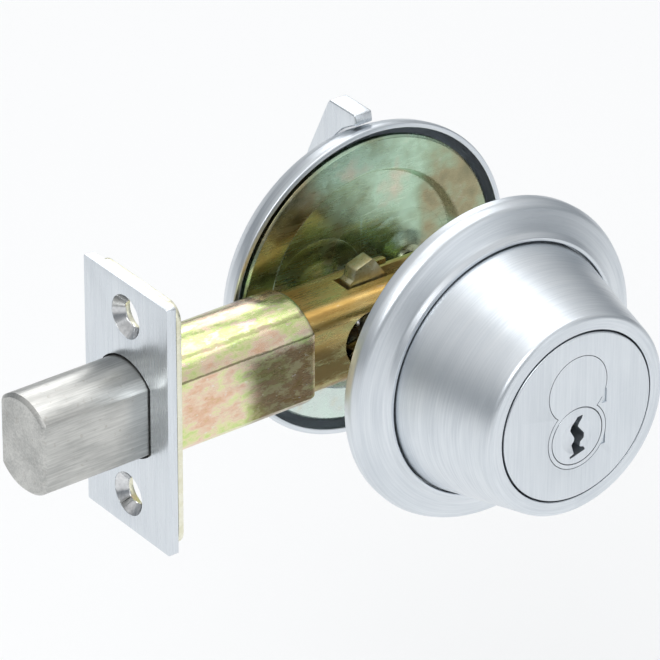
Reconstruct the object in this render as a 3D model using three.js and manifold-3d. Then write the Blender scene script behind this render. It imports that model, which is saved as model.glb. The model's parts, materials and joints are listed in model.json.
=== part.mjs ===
// Tubular deadbolt door lock, in millimetres, +Z up.
// Origin: where the cylinder line (along Y) crosses the bolt line (along X).
// The bolt points to -X, the key side faces -Y and the thumb turn is on +Y.
import * as THREE from 'three';
import { mergeVertices } from 'three/addons/utils/BufferGeometryUtils.js';
import Module from 'manifold-3d';

const wasm = await Module();
wasm.setup();

// ---- driving dimensions ----
const gap = 0.3;                  // clearance between pieces that fit together
const backset = 69.85;            // faceplate front to cylinder line
const boltThrow = 25.4;           // bolt standing out of the faceplate
const plateWidth = 28.6;
const plateHeight = 57.15;
const plateThickness = 2.2;
const plateScrewSpacing = 41.3;
const plateScrewRadius = 2.8;
const countersinkRadius = 4.7;
const countersinkDepth = 1.7;
const backingInset = 0.6;         // the backing plate's edge inside the faceplate's
const backingThickness = 1.2;
const backingCorner = 3.6;
const boltRadius = 10.75;
const boltHalfWidth = 7.75;
const boltChamfer = 0.8;
const tubeWall = 1.1;
const tubeClearance = 0.35;       // round the bolt's round sides
const tubeFlatClearance = 0.85;   // beside its flats
const rollerEndCover = 3.35;      // steel left over the ends of the rollers
const tubeLength = 36;
const tubeEndWall = 1.4;
const caseHalfWidth = 7.7;
const caseHalfHeight = 9.6;
const caseCorner = 3.8;
const caseWall = 1.2;
const caseRear = 15.5;
const caseTopEnd = -2;            // the top wall stops here, open behind it
const caseSlotFront = -16.3;
const caseSlotNear = -2.4;
const caseSlotFar = 2.6;
const caseEarFar = 3.6;           // the slot widens here for the bolt tail's ear
const caseWindowRadius = 6.4;
const caseWindowX = -14.3;
const driveDrop = 4.4;            // key, crank and thumb turn turn this far below the bolt line
const crankRest = 40;             // degrees forward of straight up, bolt thrown
const crankNear = -1.9;
const crankFar = 1.6;
const crankArmHalf = 2.7;
const crankPocketDepth = 1.4;
const hubRadius = 3.5;
const drivePinRadius = 1;
const tailThickness = 1.1;
const tailBottom = 3.6;
const tailUpper = 7.9;
const tailEarHalf = 2.2;
const tailEarRise = 1.4;          // top of the ear above the drive pin's centre
const screwSpacing = 22.2;        // mounting screws, 7/8 inch
const screwRadius = 2;
const postWall = 1.3;             // of the threaded posts the screws go into
const roseRadius = 35.5;
const roseBack = 26.4;            // distance of the outside rose's back from the bolt line
const roseLip = 3.6;
const roseBoreRadius = 28.1;
const collarBase = 27.7;
const collarRim = 22.4;
const collarFront = 57;
const faceRadius = 18.65;
const lobeRadius = 7.3;
const lobeSpacing = 10.9;
const plugRadius = 6.35;
const plugBodyRadius = 4.7;
const coreRear = 29;
const bladeWidth = 4.6;
const bladeThickness = 1.6;
const insideRim = 11.75;          // distance of the inside rose's rim from the bolt line
const insideRoseRadius = 35.4;
const insideRoseDepth = 10.9;
const insideRoseWall = 1.2;
const mountInset = 3.1;           // the mounting plate's edge inside the rose's
const mountStep = 24.8;
const mountThickness = 1.6;
const mountSetback = 0.6;         // from the rose's rim in to the mounting plate
const mountRecess = 2.6;
const turnThickness = 4.4;
const turnTop = 38.2;
const rollPinRadius = 0.95;
const rollPinX = -15.9;
const rollPinZ = -5.1;
const rollerRadius = 2.2;         // anti-saw rollers inside the bolt
const backScrewOffset = 15.2;     // cylinder back plate screws, above and below the bolt line
const throwRadius = 7.4;          // of the throw member behind the core
const chamberPitch = 3.2;         // pin chambers along the core
const chamberCount = 7;
const chamberRadius = 1.35;
const sleeveRadius = 6.2;         // control sleeve round the key plug
const bushRadius = 5.2;           // nylon bushing under the thumb turn
const spindleRadius = 4.2;        // of the thumb turn

// ---- finishes ----
function finish(color, roughness, metalness) {
  return new THREE.MeshStandardMaterial({ color, roughness, metalness });
}
const satinChrome = () => finish(0xb9c2c8, 0.34, 0.95);
const boltSteel = () => finish(0xaaa79f, 0.42, 0.9);
const zincYellow = () => finish(0xb9b77e, 0.38, 0.85);
const zincBronze = () => finish(0xa07c3a, 0.4, 0.85);
const zincGreen = () => finish(0x8f9a76, 0.4, 0.85);
const plainSteel = () => finish(0x9a9da0, 0.35, 0.95);
const springSteel = () => finish(0x6f7072, 0.35, 0.95);
const brass = () => finish(0xb8984f, 0.35, 0.95);
const nylon = () => finish(0xe6e2d6, 0.55, 0);

// ---- solids: closed meshes to manifold and back ----
function solid(geometry) {
  const bare = geometry.clone();
  bare.deleteAttribute('normal');
  bare.deleteAttribute('uv');
  const merged = mergeVertices(bare, 1e-4);
  return new wasm.Manifold(new wasm.Mesh({
    numProp: 3,
    vertProperties: new Float32Array(merged.attributes.position.array),
    triVerts: new Uint32Array(merged.index.array),
  }));
}

function shell(manifold) {
  const mesh = manifold.getMesh();
  const geometry = new THREE.BufferGeometry();
  geometry.setAttribute('position', new THREE.BufferAttribute(new Float32Array(mesh.vertProperties), 3));
  geometry.setIndex(new THREE.BufferAttribute(new Uint32Array(mesh.triVerts), 1));
  geometry.computeVertexNormals();
  return geometry;
}

function joined(...solids) {
  return solids.reduce((whole, piece) => whole.add(piece));
}

function cut(whole, ...tools) {
  return tools.reduce((left, tool) => left.subtract(tool), whole);
}

// ---- building blocks ----
function box(x0, x1, y0, y1, z0, z1) {
  const geometry = new THREE.BoxGeometry(x1 - x0, y1 - y0, z1 - z0);
  geometry.translate((x0 + x1) / 2, (y0 + y1) / 2, (z0 + z1) / 2);
  return solid(geometry);
}

function rodX(radius, x0, x1, y, z, sides = 24) {
  const geometry = new THREE.CylinderGeometry(radius, radius, x1 - x0, sides);
  geometry.rotateZ(Math.PI / 2);
  geometry.translate((x0 + x1) / 2, y, z);
  return solid(geometry);
}

function rodY(radius, y0, y1, x, z, sides = 24) {
  const geometry = new THREE.CylinderGeometry(radius, radius, y1 - y0, sides);
  geometry.translate(x, (y0 + y1) / 2, z);
  return solid(geometry);
}

function rodZ(radius, z0, z1, x, y, sides = 16) {
  const geometry = new THREE.CylinderGeometry(radius, radius, z1 - z0, sides);
  geometry.rotateX(Math.PI / 2);
  geometry.translate(x, y, (z0 + z1) / 2);
  return solid(geometry);
}

// closed profile of [radius, y] points turned about the line through (x, z)
function turned(profile, x = 0, z = 0, sides = 48) {
  const points = profile.map(([radius, y]) => new THREE.Vector2(radius, y));
  if (THREE.ShapeUtils.area(points) < 0) points.reverse();
  points.push(points[0].clone());
  const ring = new THREE.LatheGeometry(points, sides);
  ring.translate(x, 0, z);
  return solid(ring);
}

function outline(points) {
  return new THREE.Shape(points.map(([a, b]) => new THREE.Vector2(a, b)));
}

// outline in (y, z) pushed along X
function alongX(shape, x0, x1, curveSegments = 6) {
  const geometry = new THREE.ExtrudeGeometry(shape, { depth: x1 - x0, bevelEnabled: false, curveSegments });
  geometry.applyMatrix4(new THREE.Matrix4().makeBasis(
    new THREE.Vector3(0, 1, 0), new THREE.Vector3(0, 0, 1), new THREE.Vector3(1, 0, 0)));
  geometry.translate(x0, 0, 0);
  return solid(geometry);
}

// outline in (x, z) pushed along Y
function alongY(shape, y0, y1, curveSegments = 8) {
  const geometry = new THREE.ExtrudeGeometry(shape, { depth: y1 - y0, bevelEnabled: false, curveSegments });
  geometry.applyMatrix4(new THREE.Matrix4().makeBasis(
    new THREE.Vector3(1, 0, 0), new THREE.Vector3(0, 0, 1), new THREE.Vector3(0, -1, 0)));
  geometry.translate(0, y1, 0);
  return solid(geometry);
}

function roundedRect(halfA, halfB, radius) {
  const shape = new THREE.Shape();
  shape.moveTo(-halfA + radius, -halfB);
  shape.lineTo(halfA - radius, -halfB);
  shape.absarc(halfA - radius, -halfB + radius, radius, -Math.PI / 2, 0);
  shape.lineTo(halfA, halfB - radius);
  shape.absarc(halfA - radius, halfB - radius, radius, 0, Math.PI / 2);
  shape.lineTo(-halfA + radius, halfB);
  shape.absarc(-halfA + radius, halfB - radius, radius, Math.PI / 2, Math.PI);
  shape.lineTo(-halfA, -halfB + radius);
  shape.absarc(-halfA + radius, -halfB + radius, radius, Math.PI, 1.5 * Math.PI);
  return shape;
}

// round bar with two flats, seen from the end
function flattedRound(radius, halfWidth) {
  const corner = Math.acos(halfWidth / radius);
  const shape = new THREE.Shape();
  shape.absarc(0, 0, radius, corner, Math.PI - corner);
  shape.absarc(0, 0, radius, Math.PI + corner, 2 * Math.PI - corner);
  return shape;
}

// ---- assembly ----
const lock = new THREE.Group();

function addPiece(name, manifold, material) {
  const mesh = new THREE.Mesh(shell(manifold), material);
  mesh.name = name;
  lock.add(mesh);
}

// ---- the bolt end ----
const tubeRadius = boltRadius + tubeClearance + tubeWall;
const tubeHalfWidth = boltHalfWidth + tubeFlatClearance + tubeWall;
const plateRear = -backset + plateThickness;
const backingFront = plateRear + 0.5;
const backingRear = backingFront + backingThickness;
const tubeFront = backingRear + gap;
const tubeRear = tubeFront + tubeLength;
const caseFront = tubeRear - tubeEndWall - 2.4;
const driveZ = -driveDrop;
const boltFront = -backset - boltThrow;
const boltRear = caseFront - boltThrow - gap;
const boltTailFront = boltRear - 9;
const rollerX = -backset - boltThrow / 2;
const rollerHalf = boltRadius - rollerEndCover;
const tailNear = crankFar + gap;
const tailFar = tailNear + tailThickness;
// the drive pin's height makes the crank's turn of 90 degrees the bolt's throw
const crankFore = Math.tan(crankRest * Math.PI / 180);
const crankAft = Math.tan((90 - crankRest) * Math.PI / 180);
const drivePinRise = boltThrow / (crankFore + crankAft);
const drivePinX = -drivePinRise * crankFore;
const drivePinZ = driveZ + drivePinRise;
const mainPost = screwRadius + postWall;
const pinReach = drivePinRise / Math.sin(crankRest * Math.PI / 180);   // from the drive line, bolt drawn back

function plateScrewHoles(x0, x1, radius) {
  const upper = rodX(radius, x0, x1, 0, plateScrewSpacing / 2);
  const lower = rodX(radius, x0, x1, 0, -plateScrewSpacing / 2);
  return joined(upper, lower);
}

function countersink(z) {
  const cone = new THREE.CylinderGeometry(plateScrewRadius, countersinkRadius, countersinkDepth, 24);
  cone.rotateZ(-Math.PI / 2);
  cone.translate(-backset + countersinkDepth / 2 - 0.01, 0, z);
  return solid(cone);
}

function faceplate() {
  const blank = box(-backset, plateRear, -plateWidth / 2, plateWidth / 2, -plateHeight / 2, plateHeight / 2);
  const boltHole = alongX(flattedRound(boltRadius + 0.4, boltHalfWidth + 0.4), -backset - 1, plateRear + 1);
  return cut(
    blank,
    boltHole,
    plateScrewHoles(-backset - 1, plateRear + 1, plateScrewRadius),
    countersink(plateScrewSpacing / 2),
    countersink(-plateScrewSpacing / 2),
  );
}

function backingPlate() {
  const halfY = plateWidth / 2 - backingInset;
  const halfZ = plateHeight / 2 - backingInset;
  const blank = alongX(roundedRect(halfY, halfZ, backingCorner), backingFront, backingRear);
  const boltHole = alongX(flattedRound(boltRadius + gap, boltHalfWidth + gap), backingFront - 1, backingRear + 1);
  return cut(blank, boltHole, plateScrewHoles(backingFront - 1, backingRear + 1, plateScrewRadius + 1.2));
}

function boltTube() {
  const outer = alongX(flattedRound(tubeRadius, tubeHalfWidth), tubeFront, tubeRear);
  const inner = alongX(
    flattedRound(tubeRadius - tubeWall, tubeHalfWidth - tubeWall), tubeFront - 1, tubeRear - tubeEndWall);
  const mouth = alongX(
    roundedRect(caseHalfWidth + gap, caseHalfHeight + gap, caseCorner + gap), tubeRear - 5, tubeRear + 1);
  const roll = new THREE.LatheGeometry([
    new THREE.Vector2(0, tubeFront - 1),
    new THREE.Vector2(tubeRadius + 1, tubeFront - 1),
    new THREE.Vector2(tubeRadius + 1, tubeRear - 1.4),
    new THREE.Vector2(tubeRadius, tubeRear - 1.2),
    new THREE.Vector2(tubeRadius - 0.35, tubeRear - 0.5),
    new THREE.Vector2(tubeRadius - 1, tubeRear),
    new THREE.Vector2(0, tubeRear),
  ], 48);
  roll.rotateZ(-Math.PI / 2);
  return cut(outer.intersect(solid(roll)), inner, mouth);
}

function rearCase() {
  const outer = alongX(roundedRect(caseHalfWidth, caseHalfHeight, caseCorner), caseFront, caseRear, 4);
  const inner = alongX(
    roundedRect(caseHalfWidth - caseWall, caseHalfHeight - caseWall, caseCorner - caseWall),
    caseFront - 1, caseRear + 1, 4);
  const slot = box(caseSlotFront, caseRear + 1, caseSlotNear, caseSlotFar, 0, caseHalfHeight + 1);
  const earSlot = box(drivePinX - tailEarHalf - gap, caseRear + 1, 0, caseEarFar, 0, caseHalfHeight + 1);
  const openTop = box(caseTopEnd, caseRear + 1, -20, 20, caseHalfHeight - caseCorner, caseHalfHeight + 1);
  const window = rodY(caseWindowRadius, -caseHalfWidth - 1, 0, caseWindowX, 0, 24);
  const hubHole = rodY(hubRadius + gap, -20, 20, 0, driveZ, 20);
  const screwHoles = [-1, 1].map((side) => rodY(screwRadius + 0.6, 0, 20, side * screwSpacing / 2, 0, 16));
  const postHoles = [-1, 1].map((side) => rodY(mainPost + gap, -20, 0, side * screwSpacing / 2, 0, 20));
  const heel = rodY(1.2, -20, 20, caseFront + 12, -caseHalfHeight + 0.2, 12);
  const rollPinHole = rodY(rollPinRadius + gap, 0, 20, rollPinX, rollPinZ, 12);
  return cut(outer, inner, slot, earSlot, openTop, window, hubHole, ...screwHoles, ...postHoles, heel, rollPinHole);
}

function rollPin() {
  const wall = 0.35;
  const tube = rodY(rollPinRadius, -4.2, caseHalfWidth, rollPinX, rollPinZ, 16);
  const bore = rodY(rollPinRadius - wall, -6, caseHalfWidth + 1, rollPinX, rollPinZ, 16);
  return cut(tube, bore);
}

// spring strip hooked on the roll pin, pressing up on the crank hub's flat
function detentSpring() {
  const width = 3;
  const strip = outline([
    [rollPinX - 1.9, rollPinZ - 1.3], [rollPinX - 1.3, rollPinZ - 1.9], [rollPinX + 1.6, rollPinZ - 1.9],
    [-7.5, rollPinZ - 0.6], [-4.4, rollPinZ - 2.2], [-4.1, rollPinZ - 1.8], [-7.5, rollPinZ - 0.1],
    [rollPinX + 1.6, rollPinZ - 1.4], [rollPinX - 1.3, rollPinZ - 1.4], [rollPinX - 1.4, rollPinZ + 0.6],
    [rollPinX - 1.9, rollPinZ + 0.6],
  ]);
  return alongY(strip, 2, 2 + width);
}

// ---- the bolt ----
function boltBar() {
  const profile = flattedRound(boltRadius, boltHalfWidth);
  const body = alongX(profile, boltFront, boltRear);
  const nose = new THREE.LatheGeometry([
    new THREE.Vector2(0, boltFront),
    new THREE.Vector2(boltRadius - boltChamfer, boltFront),
    new THREE.Vector2(boltRadius + 0.01, boltFront + boltChamfer),
    new THREE.Vector2(boltRadius + 0.5, boltFront + boltChamfer + 0.5),
    new THREE.Vector2(boltRadius + 0.5, 0),
    new THREE.Vector2(0, 0),
  ], 48);
  nose.rotateZ(-Math.PI / 2);
  const rollerHoles = [-1, 1].map((side) => rodZ(
    rollerRadius + gap, -boltRadius - 1, rollerHalf + gap, rollerX + side * 5, 0));
  const tailSlot = box(
    boltTailFront - gap, 0, tailNear - gap, tailFar + gap, tailBottom - gap, tailUpper + gap);
  return cut(body.intersect(solid(nose)), ...rollerHoles, tailSlot);
}

function antiSawRoller(side) {
  return rodZ(rollerRadius, -rollerHalf, rollerHalf, rollerX + side * 5, 0);
}

// the pin stands out of the bolt tail into the pocket in the crank's far face
function boltTail() {
  const side = outline([
    [boltTailFront, tailBottom], [drivePinX + tailEarHalf, tailBottom],
    [drivePinX + tailEarHalf, drivePinZ + 0.6], [drivePinX + tailEarHalf - 0.8, drivePinZ + tailEarRise],
    [drivePinX - tailEarHalf + 0.8, drivePinZ + tailEarRise], [drivePinX - tailEarHalf, drivePinZ + 0.6],
    [drivePinX - tailEarHalf, tailUpper], [boltTailFront, tailUpper],
  ]);
  const pinHole = rodY(drivePinRadius + gap, tailNear - 1, tailFar + 1, drivePinX, drivePinZ, 16);
  return cut(alongY(side, tailNear, tailFar), pinHole);
}

function drivePin() {
  return rodY(drivePinRadius, crankFar - crankPocketDepth + gap, tailFar + 0.2, drivePinX, drivePinZ, 16);
}

// ---- the crank in the case ----
// u runs out along the crank's arm, v across it towards the rear, both from the drive line
function fromArm(u, v) {
  const angle = crankRest * Math.PI / 180;
  return [
    -u * Math.sin(angle) + v * Math.cos(angle),
    driveZ + u * Math.cos(angle) + v * Math.sin(angle),
  ];
}

function bladeSlot(y0, y1) {
  return box(
    -bladeThickness / 2 - gap, bladeThickness / 2 + gap, y0, y1,
    driveZ - bladeWidth / 2 - gap, driveZ + bladeWidth / 2 + gap);
}

// where the rear mounting screw passes the crank once it is turned right back
function rearScrewNotch() {
  const x = screwSpacing / 2;
  const z = driveDrop;
  const back = (90 - crankRest) * Math.PI / 180;
  const [u, v] = [x * Math.sin(back) + z * Math.cos(back), x * Math.cos(back) - z * Math.sin(back)];
  const [notchX, notchZ] = fromArm(u, v);
  return rodY(screwRadius + 0.4, crankNear - 1, crankFar + 1, notchX, notchZ, 20);
}

function crank() {
  const arm = outline([
    fromArm(1, -crankArmHalf), fromArm(pinReach - 1.9, -crankArmHalf), fromArm(pinReach + 0.6, -3.4),
    fromArm(pinReach + 1.6, -2.3), fromArm(pinReach + 1.5, -1.3), fromArm(pinReach + 2.7, 0.7),
    fromArm(pinReach + 1, 4.9), fromArm(drivePinRise + 0.6, 4.3),
    fromArm(drivePinRise - 4, crankArmHalf), fromArm(1, crankArmHalf),
  ]);
  const pocket = outline([
    fromArm(drivePinRise - 1.4, -1.75), fromArm(pinReach - 2.3, -1.75), fromArm(pinReach + 0.1, -1.35),
    fromArm(pinReach + 1, -0.9), fromArm(pinReach + 1.35, 0), fromArm(pinReach + 1, 1),
    fromArm(pinReach - 1.9, 2.7), fromArm(pinReach - 4.1, 3.15), fromArm(drivePinRise + 0.7, 3.1),
    fromArm(drivePinRise - 1.2, 2.2),
  ]);
  const hub = rodY(hubRadius, -caseHalfWidth - 0.6, caseHalfWidth + 0.6, 0, driveZ, 32);
  return cut(
    joined(alongY(arm, crankNear, crankFar), hub), bladeSlot(-20, 20), rearScrewNotch(),
    alongY(pocket, crankFar - crankPocketDepth, crankFar + 1));
}

addPiece('faceplate', faceplate(), satinChrome());
addPiece('backing_plate', backingPlate(), zincYellow());
addPiece('bolt_tube', boltTube(), zincYellow());
addPiece('rear_case', rearCase(), zincBronze());
addPiece('roll_pin', rollPin(), plainSteel());
addPiece('detent_spring', detentSpring(), springSteel());
addPiece('bolt_bar', boltBar(), boltSteel());
addPiece('anti_saw_roller_outer', antiSawRoller(-1), plainSteel());
addPiece('anti_saw_roller_inner', antiSawRoller(1), plainSteel());
addPiece('bolt_tail', boltTail(), zincGreen());
addPiece('drive_pin', drivePin(), plainSteel());
addPiece('crank', crank(), zincGreen());

// ---- the key side, profiles as [radius, distance towards the key side] ----
function turnedOut(profile, z = 0, sides = 48) {
  return turned(profile.map(([radius, out]) => [radius, -out]), 0, z, sides);
}

const lipFront = roseBack + roseLip;
const roseShoulder = roseBack + 7.2;
const bodyFlangeRadius = roseRadius - 4.5;
const bodyFlangeFront = roseBack + 2.2;
const collarFlangeBack = bodyFlangeFront + 1.3;
const collarFlangeFront = collarFlangeBack + 1.3;
const upperLobeZ = driveZ + lobeSpacing;

function outsideRose() {
  const lipInner = bodyFlangeRadius + 0.4;
  return turnedOut([
    [lipInner, roseBack], [lipInner, collarFlangeFront - 1], [lipInner - 0.9, collarFlangeFront + gap],
    [roseBoreRadius, collarFlangeFront + gap], [roseBoreRadius, roseShoulder - 0.4],
    [roseBoreRadius + 0.4, roseShoulder], [roseBoreRadius + 2, roseShoulder - 1.1],
    [roseBoreRadius + 3.9, lipFront + 1.7], [roseRadius - 1.9, lipFront + 0.5],
    [roseRadius - 0.8, lipFront - 0.3], [roseRadius - 0.15, lipFront - 1.3],
    [roseRadius, lipFront - 2.1], [roseRadius - 0.3, roseBack + 0.6], [roseRadius - 0.9, roseBack],
  ], 0, 48);
}

function collar() {
  const taper = (collarBase - collarRim) / (collarFront - 1.4 - roseShoulder);
  const radiusAt = (out) => collarBase - taper * (out - roseShoulder);
  const wall = 2;
  return turnedOut([
    [roseBoreRadius + 1.9, collarFlangeBack], [roseBoreRadius + 1.9, collarFlangeFront],
    [collarBase, collarFlangeFront], [collarBase, roseShoulder], [radiusAt(collarFront - 1.4), collarFront - 1.4],
    [collarRim - 0.35, collarFront - 0.55], [collarRim - 1.1, collarFront],
    [faceRadius + 0.35, collarFront], [faceRadius + 0.35, collarFront - 3],
    [radiusAt(collarFront - 4.2) - wall, collarFront - 4.2], [collarBase - wall, collarFlangeBack],
  ], 0, 48);
}

function collarSpring() {
  return turnedOut([
    [faceRadius + 3, bodyFlangeFront + gap], [collarBase, bodyFlangeFront + gap],
    [collarBase, collarFlangeBack - gap], [faceRadius + 3, collarFlangeBack - gap],
  ], 0, 48);
}

// figure of eight: two round lobes with a straight waist between them
function figureEight(grow, out0, out1) {
  const radius = lobeRadius + grow;
  return joined(
    rodY(radius, -out1, -out0, 0, upperLobeZ, 36),
    rodY(radius, -out1, -out0, 0, driveZ, 36),
  );
}

function cylinderBody() {
  const flangeBack = roseBack + 0.5;
  const body = turnedOut([
    [0, flangeBack], [bodyFlangeRadius, flangeBack], [bodyFlangeRadius, bodyFlangeFront],
    [faceRadius, bodyFlangeFront], [faceRadius, collarFront - 0.2], [faceRadius - 0.3, collarFront + 0.2],
    [0, collarFront + 0.2],
  ]);
  const rear = cylinderRear();
  const posts = [-1, 1].map((side) => rodY(mainPost, -flangeBack - 1, -postEnd, side * screwSpacing / 2, 0, 16));
  const threads = [-1, 1].map((side) => rodY(
    screwRadius + gap, -screwEnd - 1, -postEnd + 1, side * screwSpacing / 2, 0, 16));
  const backScrewHoles = [-1, 1].map((side) => rodY(
    1.2 + gap, -flangeBack - 7, -flangeBack + 1, 0, side * backScrewOffset, 12));
  return cut(
    joined(cut(body, rear), ...posts), figureEight(gap, flangeBack - 1, collarFront + 1),
    ...threads, ...backScrewHoles);
}

const postEnd = caseHalfWidth - 4.2;
const screwEnd = roseBack + 6;

// the round pocket behind the core, where the throw member turns
function cylinderRear() {
  return rodY(throwRadius + 0.5, -coreRear, -roseBack + 1, 0, driveZ, 32);
}


function cylinderBackPlate() {
  const front = roseBack + 0.2;
  const disc = turnedOut([[0, front - 1.4], [17.6, front - 1.4], [17.6, front], [0, front]], 0, 48);
  const bore = rodY(4.2, -60, 0, 0, driveZ, 32);
  const postHoles = [-1, 1].map((side) => rodY(mainPost + gap, -60, 0, side * screwSpacing / 2, 0, 16));
  const screwHoles = [-1, 1].map((side) => rodY(1.2 + gap, -60, 0, 0, side * backScrewOffset, 12));
  return cut(disc, bore, ...postHoles, ...screwHoles);
}

function backPlateScrew(side) {
  const seat = roseBack - 1.5;
  const z = side * backScrewOffset;
  return joined(rodY(1.2, -seat - 6, -seat + 0.01, 0, z, 12), rodY(2.1, -seat, -seat + 1.1, 0, z, 16));
}

function plugBore(radius, out0, out1, sides = 28) {
  return rodY(radius, -out1, -out0, 0, driveZ, sides);
}

const sleeveFront = collarFront - 3.6;
const sleeveRear = coreRear + 3;
const chamberFloor = driveZ + sleeveRadius + 0.6;
const chamberTop = upperLobeZ + lobeRadius;

function chamberY(index) {
  return -(collarFront - 6 - index * chamberPitch);
}

function inChamber(index, radius, z0, z1, sides = 12) {
  return rodZ(radius, z0, z1, 0, chamberY(index), sides);
}

function chamberBores() {
  return joined(...Array.from({ length: chamberCount }, (_, index) => inChamber(
    index, chamberRadius, chamberFloor - 1, chamberTop + 1)));
}

function coreShell() {
  const whole = figureEight(0, coreRear, collarFront + 0.2);
  return cut(
    whole,
    plugBore(plugRadius + 0.22, collarFront - 2.8, collarFront + 1, 36),
    plugBore(sleeveRadius + gap, coreRear - 1, collarFront - 2.7),
    chamberBores(),
  );
}

function controlSleeve() {
  const tube = plugBore(sleeveRadius, sleeveRear, sleeveFront);
  return cut(tube, plugBore(plugBodyRadius + gap, sleeveRear - 1, sleeveFront + 1));
}

function driverPin(index) {
  return inChamber(index, chamberRadius - 0.25, chamberFloor, chamberFloor + 3.4, 10);
}

function chamberCap(index) {
  return inChamber(index, chamberRadius - 0.2, chamberTop - 1.6, chamberTop - 0.5, 10);
}

function pinSpring(index) {
  const turns = 4;
  const steps = turns * 6;
  const coilRadius = 0.75;
  const bottom = chamberFloor + 3.9;
  const top = chamberTop - 2.1;
  const wire = new THREE.Shape();
  wire.absarc(0, 0, 0.18, 0, 2 * Math.PI);
  const points = [];
  for (let step = 0; step <= steps; step += 1) {
    const angle = step * Math.PI / 3;
    const z = bottom + (top - bottom) * step / steps;
    points.push(new THREE.Vector3(coilRadius * Math.cos(angle), chamberY(index) + coilRadius * Math.sin(angle), z));
  }
  const path = new THREE.CatmullRomCurve3(points);
  return solid(new THREE.ExtrudeGeometry(wire, {
    steps, extrudePath: path, curveSegments: 2, bevelEnabled: false,
  }));
}

function keyway() {
  const z = driveZ;
  const slot = outline([
    [-0.9, z - 4.6], [1.7, z - 3.7], [1.2, z - 3.1], [0.5, z - 2.9], [0.6, z - 1.9], [1.5, z - 1.2],
    [1.6, z - 0.3], [0.1, z + 1.8], [0.2, z + 2.6], [0.9, z + 4.4], [0.1, z + 4.3], [-0.9, z + 2.5],
    [-1, z + 1.5], [0.2, z - 0.7], [0.1, z - 1.3], [-0.7, z - 2], [-0.3, z - 3.9], [-1, z - 4.2],
  ]);
  return alongY(slot, -collarFront - 1, -coreRear - 3);
}

function keyPlug() {
  const front = collarFront + 0.25;
  const head = plugBore(plugRadius, collarFront - 2.4, front, 36);
  const body = plugBore(plugBodyRadius, coreRear, collarFront - 2.39);
  const dish = new THREE.SphereGeometry(4, 24, 12);
  dish.translate(0, -front - 3.3, driveZ);
  const throwHoles = [-1, 1].map((side) => rodY(1 + gap, -coreRear - 2.4, -coreRear + 1, side * 2.8, driveZ, 12));
  return cut(joined(head, body), keyway(), solid(dish), ...throwHoles);
}

function throwMember() {
  const disc = plugBore(throwRadius, roseBack + 0.7, coreRear - gap);
  const sleeve = plugBore(3.9, roseBack - 2.4, roseBack + 0.71, 24);
  const prongs = [-1, 1].map((side) => rodY(1, -coreRear - 1.8, -coreRear + gap + 0.01, side * 2.8, driveZ, 12));
  return cut(joined(disc, sleeve, ...prongs), bladeSlot(-coreRear + 0.8, 0));
}

function tailpiece() {
  return box(
    -bladeThickness / 2, bladeThickness / 2, -coreRear + 1.2, insideRim + 13,
    driveZ - bladeWidth / 2, driveZ + bladeWidth / 2);
}

addPiece('outside_rose', outsideRose(), satinChrome());
addPiece('collar', collar(), satinChrome());
addPiece('collar_spring', collarSpring(), springSteel());
addPiece('cylinder_body', cylinderBody(), satinChrome());
addPiece('cylinder_back_plate', cylinderBackPlate(), plainSteel());
addPiece('back_plate_screw_upper', backPlateScrew(1), plainSteel());
addPiece('back_plate_screw_lower', backPlateScrew(-1), plainSteel());
addPiece('core_shell', coreShell(), satinChrome());
addPiece('control_sleeve', controlSleeve(), brass());
for (let index = 0; index < chamberCount; index += 1) {
  addPiece(`driver_pin_${index + 1}`, driverPin(index), brass());
  addPiece(`pin_spring_${index + 1}`, pinSpring(index), springSteel());
  addPiece(`chamber_cap_${index + 1}`, chamberCap(index), brass());
}
addPiece('key_plug', keyPlug(), satinChrome());
addPiece('throw_member', throwMember(), brass());
addPiece('tailpiece', tailpiece(), plainSteel());

// ---- the thumb turn side, distances towards the room ----
function turnedIn(profile, z = 0, sides = 48) {
  return turned(profile, 0, z, sides);
}

const roseDome = insideRim + insideRoseDepth;
const mountRadius = insideRoseRadius - mountInset;
const mountFace = insideRim + mountSetback;
const seatY = mountFace + mountRecess;

function mountingPlate() {
  const back = mountThickness;
  const dish = turnedIn([
    [0, seatY], [mountStep - 1.4, seatY], [mountStep, mountFace], [mountRadius, mountFace],
    [mountRadius, mountFace + back], [mountStep + 0.8, mountFace + back], [mountStep - 0.6, seatY + back],
    [0, seatY + back],
  ]);
  const bosses = [-1, 1].map((side) => turned([
    [0, seatY - 1.9], [3.9, seatY - 1.9], [5.4, seatY - 1.2], [8.4, seatY], [8.4, seatY + 0.4], [0, seatY + 0.4],
  ], side * screwSpacing / 2, 0, 20));
  const counterBosses = [-1, 1].map((side) => turned([
    [0, seatY - 0.7], [3, seatY - 0.7], [6, seatY + back + 0.5], [0, seatY + back + 0.5],
  ], side * screwSpacing / 2, 0, 20));
  const holes = [-1, 1].map((side) => rodY(screwRadius + 0.4, 0, 40, side * screwSpacing / 2, 0, 16));
  const centre = rodY(spindleRadius + 1.6, 0, 40, 0, driveZ, 32);
  return cut(joined(dish, ...bosses), ...counterBosses, ...holes, centre);
}

function mountingScrew(side) {
  const seat = seatY - 0.7 + gap;
  const x = side * screwSpacing / 2;
  const shank = rodY(screwRadius, -screwEnd, seat + 0.5, x, 0, 16);
  const head = turned([[0, seat], [2.6, seat], [3.9, seat + 1.3], [3.9, seat + 1.9], [0, seat + 2.5]], x, 0, 20);
  const cross = [
    box(x - 0.5, x + 0.5, seat + 1, seat + 4, -2.2, 2.2),
    box(x - 2.2, x + 2.2, seat + 1, seat + 4, -0.5, 0.5),
  ];
  return cut(joined(shank, head), ...cross);
}

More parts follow.
